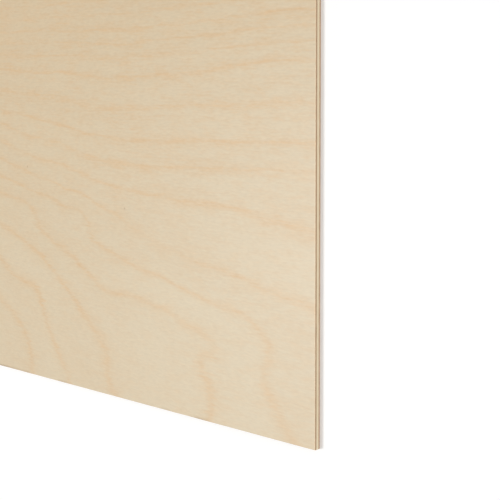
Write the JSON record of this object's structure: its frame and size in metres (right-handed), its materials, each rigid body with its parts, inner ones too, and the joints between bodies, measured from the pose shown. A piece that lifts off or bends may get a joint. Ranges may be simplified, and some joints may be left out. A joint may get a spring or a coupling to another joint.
{
  "type": "plywood sheet",
  "caption": "Thin rectangular birch plywood sheet with cross-banded veneers, pale smooth faces and square sawn edges.",
  "frame": {"origin": "middle of the back face, which lies on the floor", "axes": "+X along the face grain and the sheet's length, +Y across the face grain, +Z out of the front face"},
  "size_m": [0.6, 0.3, 0.003],
  "materials": {
    "back_birch": "rotary-cut birch veneer, sanded and unfinished",
    "core_birch": "rotary-cut birch veneer, seen only on its sawn edges",
    "front_birch": "rotary-cut birch veneer, fine-sanded and unfinished"
  },
  "bodies": {
    "root": {"back_veneer": "back_birch", "core_veneer": "core_birch", "front_veneer": "front_birch"}
  },
  "joints": []
}
